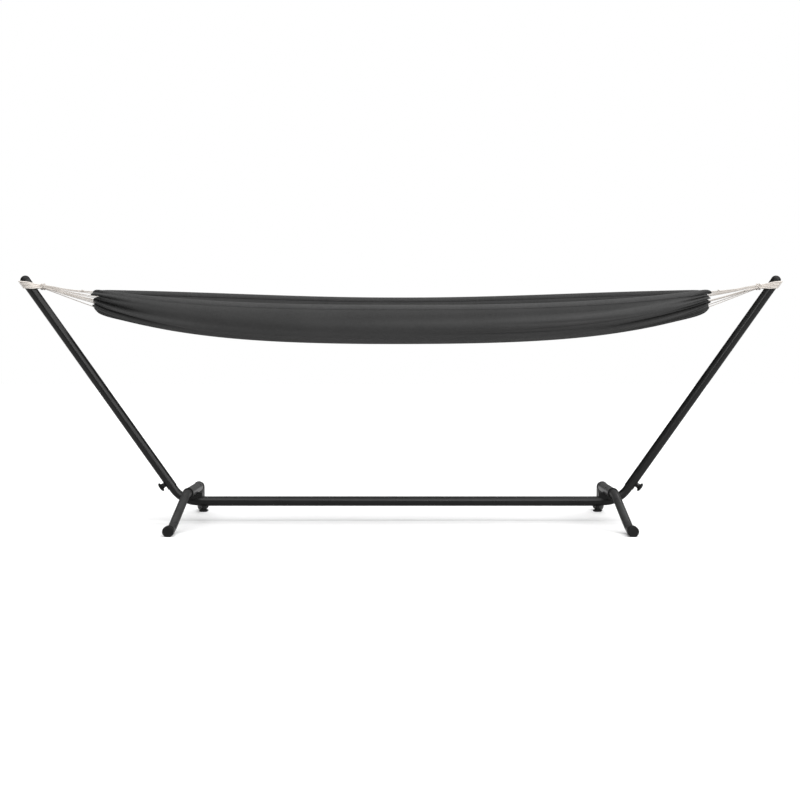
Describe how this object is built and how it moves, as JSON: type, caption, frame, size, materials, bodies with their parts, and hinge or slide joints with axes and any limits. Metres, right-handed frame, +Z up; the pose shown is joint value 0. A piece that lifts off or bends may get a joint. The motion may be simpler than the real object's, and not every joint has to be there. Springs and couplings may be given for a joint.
{
  "type": "hammock on stand",
  "caption": "Freestanding garden hammock: a gathered-end cloth bed slung by rope between raked tube uprights on a long bar with bent cross legs.",
  "frame": {"origin": "on the floor under the middle of the main bar", "axes": "+X along the main bar, +Y across it towards the rear legs, +Z up"},
  "size_m": [2.9936, 1.01, 0.967],
  "materials": {
    "frame_powder_coat": "satin black powder coat",
    "black_plastic": "fine moulded grain",
    "zinc_steel": "bright zinc plate",
    "cotton_rope": "twisted natural cotton",
    "hammock_cloth": "plain-woven canvas"
  },
  "bodies": {
    "stand": {"main_bar": "frame_powder_coat", "elbow_left": "frame_powder_coat", "upright_left": "frame_powder_coat", "leg_sleeve_left": "frame_powder_coat", "saddle_left": "frame_powder_coat", "upright_cap_left": "black_plastic", "stop_pin_left": "zinc_steel", "rope_loop_left": "cotton_rope", "bar_weld_nut_left": "frame_powder_coat", "upright_weld_nut_left": "frame_powder_coat", "sleeve_collar_front_left": "black_plastic", "sleeve_collar_rear_left": "black_plastic", "elbow_right": "frame_powder_coat", "upright_right": "frame_powder_coat", "leg_sleeve_right": "frame_powder_coat", "saddle_right": "frame_powder_coat", "upright_cap_right": "black_plastic", "stop_pin_right": "zinc_steel", "rope_loop_right": "cotton_rope", "bar_weld_nut_right": "frame_powder_coat", "upright_weld_nut_right": "frame_powder_coat", "sleeve_collar_front_right": "black_plastic", "sleeve_collar_rear_right": "black_plastic"},
    "hammock": {"hammock_cloth": "hammock_cloth", "rope_knot_left": "cotton_rope", "string_fan_left": "cotton_rope", "rope_knot_right": "cotton_rope", "string_fan_right": "cotton_rope"},
    "bar_clamp_washer_left": {"bar_washer_left": "zinc_steel"},
    "bar_clamp_knob_left": {"bar_knob_left": "black_plastic", "bar_knob_stud_left": "zinc_steel"},
    "upright_clamp_washer_left": {"upright_washer_left": "zinc_steel"},
    "upright_clamp_knob_left": {"upright_knob_left": "black_plastic", "upright_knob_stud_left": "zinc_steel"},
    "leg_front_left": {"leg_front_left": "frame_powder_coat", "foot_cap_front_left": "black_plastic"},
    "leg_rear_left": {"leg_rear_left": "frame_powder_coat", "foot_cap_rear_left": "black_plastic"},
    "bar_clamp_washer_right": {"bar_washer_right": "zinc_steel"},
    "bar_clamp_knob_right": {"bar_knob_right": "black_plastic", "bar_knob_stud_right": "zinc_steel"},
    "upright_clamp_washer_right": {"upright_washer_right": "zinc_steel"},
    "upright_clamp_knob_right": {"upright_knob_right": "black_plastic", "upright_knob_stud_right": "zinc_steel"},
    "leg_front_right": {"leg_front_right": "frame_powder_coat", "foot_cap_front_right": "black_plastic"},
    "leg_rear_right": {"leg_rear_right": "frame_powder_coat", "foot_cap_rear_right": "black_plastic"}
  },
  "joints": [
    {"name": "hammock_swing", "type": "hinge", "parent": "stand", "child": "hammock", "pos_m": [0, 0, 0.922], "axis": [1, 0, 0], "range_deg": [-30, 30]},
    {"name": "bar_knob_travel_left", "type": "slide", "parent": "stand", "child": "bar_clamp_washer_left", "axis": [0, 0, -1], "range_m": [0, 0.006]},
    {"name": "bar_knob_turn_left", "type": "hinge", "parent": "bar_clamp_washer_left", "child": "bar_clamp_knob_left", "pos_m": [-0.774, 0, 0.082], "axis": [0, 0, -1], "range_deg": [0, 1730]},
    {"name": "upright_knob_travel_left", "type": "slide", "parent": "stand", "child": "upright_clamp_washer_left", "axis": [-0.8165, 0, -0.5773], "range_m": [0, 0.006]},
    {"name": "upright_knob_turn_left", "type": "hinge", "parent": "upright_clamp_washer_left", "child": "upright_clamp_knob_left", "pos_m": [-0.91069, 0, 0.15794], "axis": [-0.8165, 0, -0.5773], "range_deg": [0, 1730]},
    {"name": "leg_pull_front_left", "type": "slide", "parent": "stand", "child": "leg_front_left", "axis": [0, -1, 0], "range_m": [0, 0.07]},
    {"name": "leg_pull_rear_left", "type": "slide", "parent": "stand", "child": "leg_rear_left", "axis": [0, 1, 0], "range_m": [0, 0.07]},
    {"name": "bar_knob_travel_right", "type": "slide", "parent": "stand", "child": "bar_clamp_washer_right", "axis": [0, 0, -1], "range_m": [0, 0.006]},
    {"name": "bar_knob_turn_right", "type": "hinge", "parent": "bar_clamp_washer_right", "child": "bar_clamp_knob_right", "pos_m": [0.774, 0, 0.082], "axis": [0, 0, -1], "range_deg": [0, 1730]},
    {"name": "upright_knob_travel_right", "type": "slide", "parent": "stand", "child": "upright_clamp_washer_right", "axis": [0.8165, 0, -0.5773], "range_m": [0, 0.006]},
    {"name": "upright_knob_turn_right", "type": "hinge", "parent": "upright_clamp_washer_right", "child": "upright_clamp_knob_right", "pos_m": [0.91069, 0, 0.15794], "axis": [0.8165, 0, -0.5773], "range_deg": [0, 1730]},
    {"name": "leg_pull_front_right", "type": "slide", "parent": "stand", "child": "leg_front_right", "axis": [0, -1, 0], "range_m": [0, 0.07]},
    {"name": "leg_pull_rear_right", "type": "slide", "parent": "stand", "child": "leg_rear_right", "axis": [0, 1, 0], "range_m": [0, 0.07]}
  ],
  "couplings": [
    {"joint": "bar_knob_turn_left", "follows": "bar_knob_travel_left", "rad_per_m": 5026.5},
    {"joint": "upright_knob_turn_left", "follows": "upright_knob_travel_left", "rad_per_m": 5026.5},
    {"joint": "bar_knob_turn_right", "follows": "bar_knob_travel_right", "rad_per_m": 5026.5},
    {"joint": "upright_knob_turn_right", "follows": "upright_knob_travel_right", "rad_per_m": 5026.5}
  ]
}
